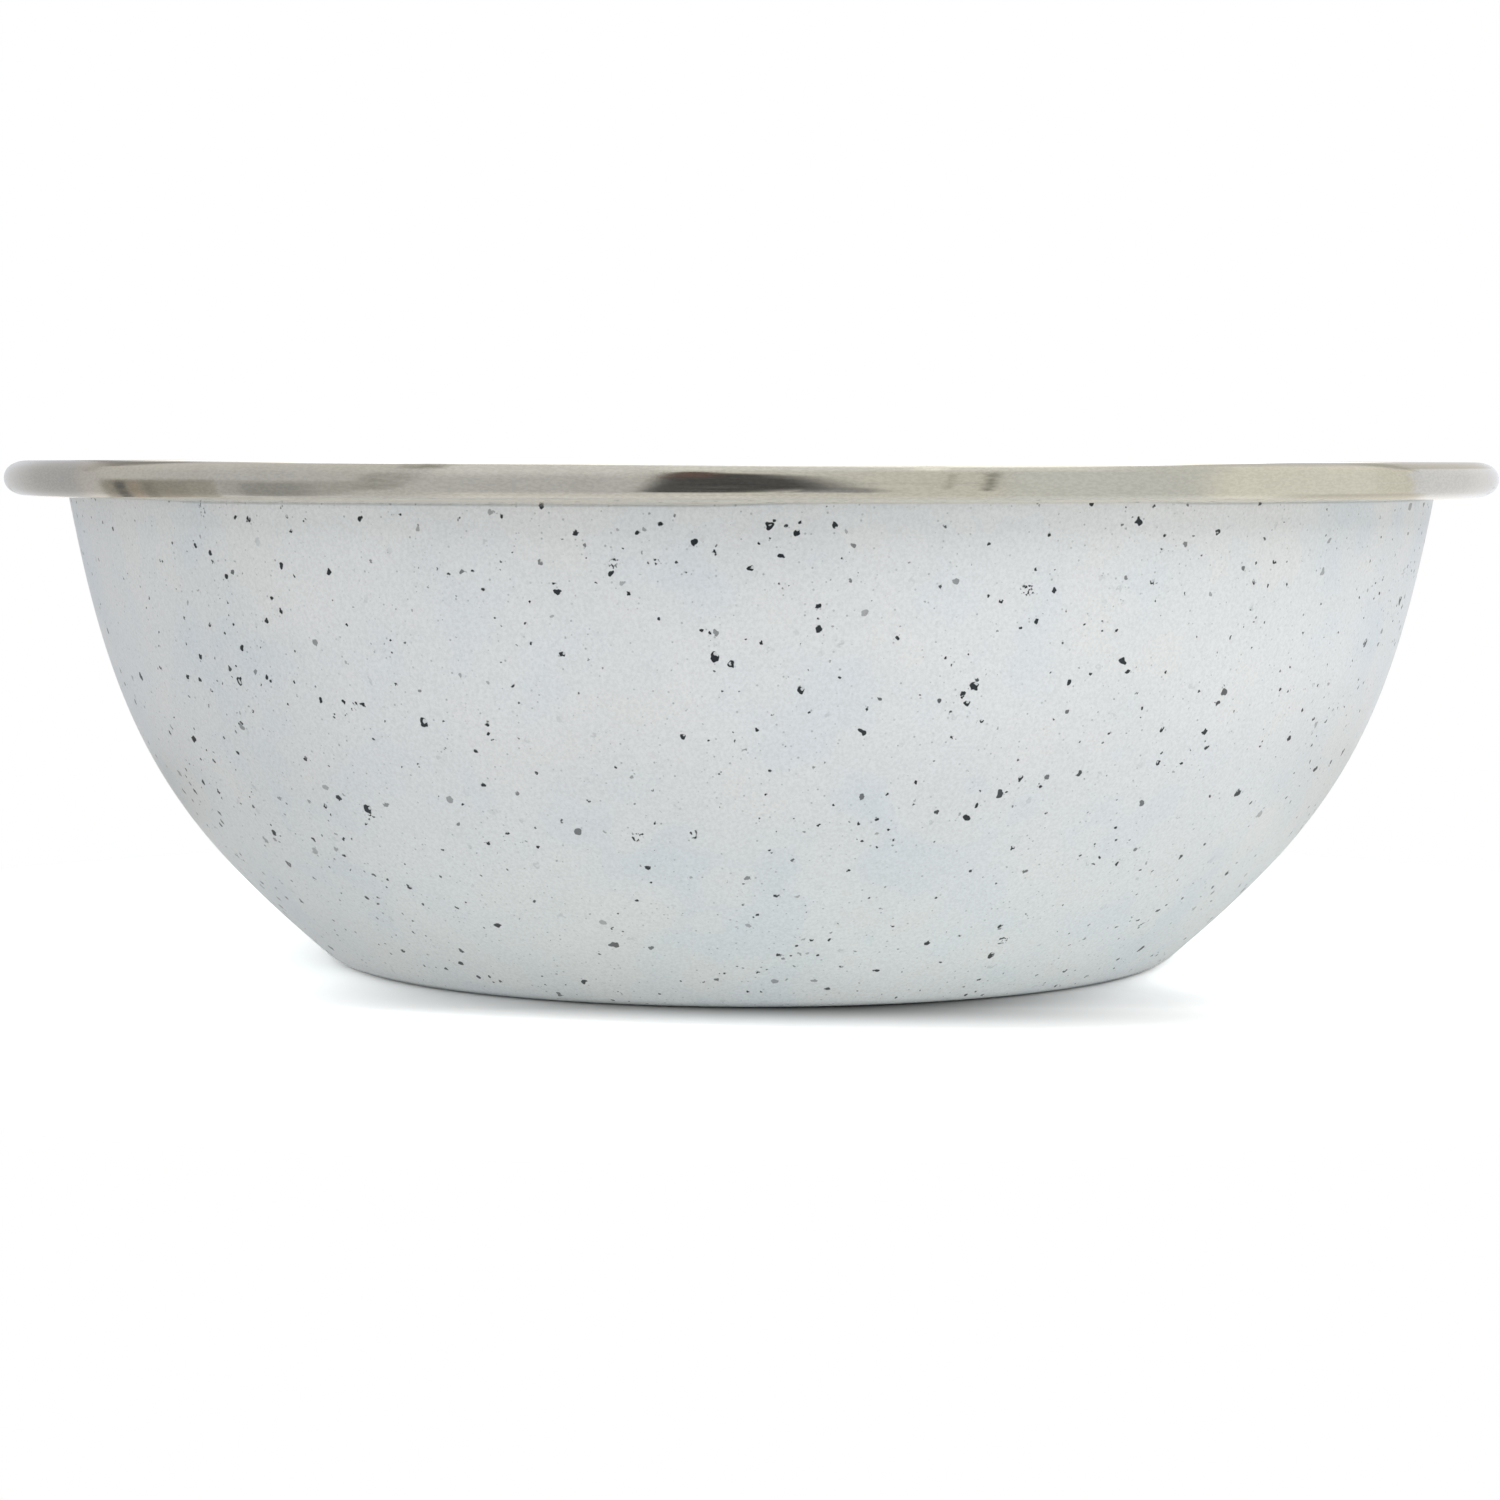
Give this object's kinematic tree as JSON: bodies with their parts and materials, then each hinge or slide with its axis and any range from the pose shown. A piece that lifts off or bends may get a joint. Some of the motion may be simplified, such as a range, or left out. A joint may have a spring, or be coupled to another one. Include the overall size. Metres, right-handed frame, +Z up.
{
  "type": "enamel bowl",
  "caption": "Round enamelled steel bowl with curved flared wall, raised base panel on a foot ring, and a stainless band crimped over the rolled rim.",
  "frame": {"origin": "centre of the resting face, on the axis of the bowl", "axes": "+Z up along the axis of the bowl; +X to the right and +Y away in the picture's view"},
  "size_m": [0.152, 0.152, 0.051],
  "materials": {
    "pressed_steel": "dull, cold-rolled",
    "ground_enamel": "fired gloss, blue-black",
    "speckled_enamel_outside": "satin gloss, mottled pale grey with dark specks",
    "speckled_enamel_inside": "satin gloss, mottled pale grey with dark specks",
    "stainless_band": "satin polish with faint blotches"
  },
  "bodies": {
    "root": {"steel_shell": "pressed_steel", "ground_coat": "ground_enamel", "outside_enamel": "speckled_enamel_outside", "inside_enamel": "speckled_enamel_inside", "rim_band": "stainless_band"}
  },
  "joints": []
}
